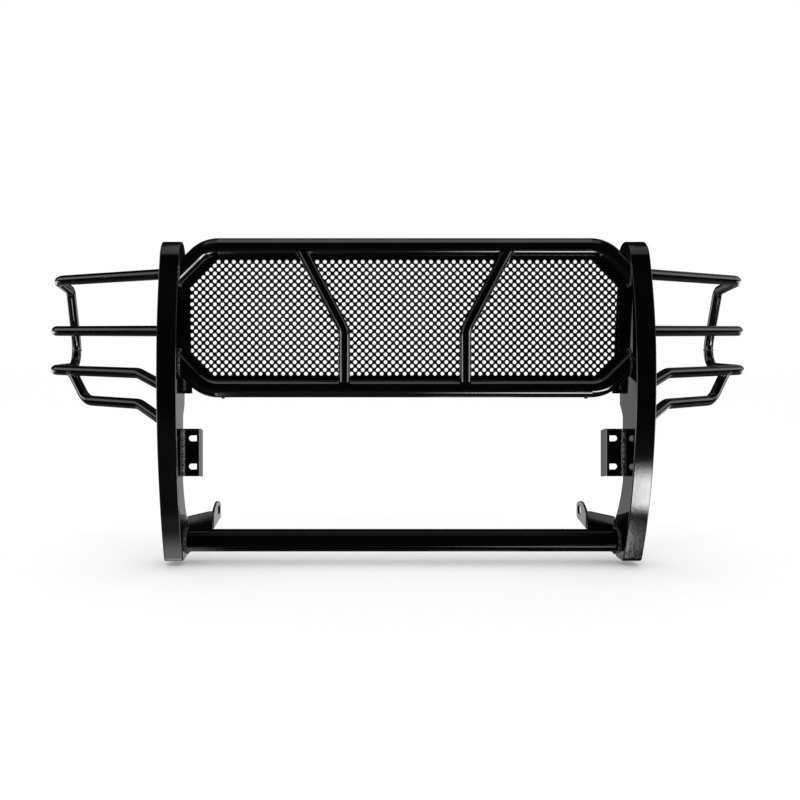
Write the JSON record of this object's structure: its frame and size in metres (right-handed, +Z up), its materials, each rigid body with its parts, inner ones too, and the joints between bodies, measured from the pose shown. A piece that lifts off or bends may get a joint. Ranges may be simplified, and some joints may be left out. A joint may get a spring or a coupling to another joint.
{
  "type": "front grille guard",
  "caption": "Welded tubular grille guard with flat-faced uprights, a perforated centre sheet, wrap-around brush guards and slotted mounting angles.",
  "frame": {"origin": "centre of the pattern of four mounting slots, in the rear face of the slotted angles", "axes": "+X across the vehicle, to the right seen from in front; +Y rearwards, into the vehicle; +Z up"},
  "size_m": [2.0126, 0.6163, 0.8574],
  "materials": {
    "gloss_coat": "gloss black powder coat",
    "sheet_coat": "gloss black powder coat on perforated sheet",
    "plug_plastic": "black moulded plastic"
  },
  "bodies": {
    "root": {"brush_loop_left": "gloss_coat", "brush_loop_right": "gloss_coat", "brush_low_hoop_left": "gloss_coat", "brush_low_hoop_right": "gloss_coat", "brush_mid_rail_left": "gloss_coat", "brush_mid_rail_right": "gloss_coat", "brush_top_hoop_left": "gloss_coat", "brush_top_hoop_right": "gloss_coat", "divider_left": "gloss_coat", "divider_right": "gloss_coat", "drain_plugs": "plug_plastic", "frame_bottom_tube": "gloss_coat", "frame_bracket_left": "gloss_coat", "frame_bracket_right": "gloss_coat", "frame_top_tube": "gloss_coat", "grille_side_strip_left": "gloss_coat", "grille_side_strip_right": "gloss_coat", "lower_cross_tube": "gloss_coat", "mount_angle_left": "gloss_coat", "mount_angle_right": "gloss_coat", "perforated_sheet": "sheet_coat", "upright_band_left": "gloss_coat", "upright_band_right": "gloss_coat", "upright_inner_plate_left": "gloss_coat", "upright_inner_plate_right": "gloss_coat", "upright_outer_plate_left": "gloss_coat", "upright_outer_plate_right": "gloss_coat"}
  },
  "joints": []
}
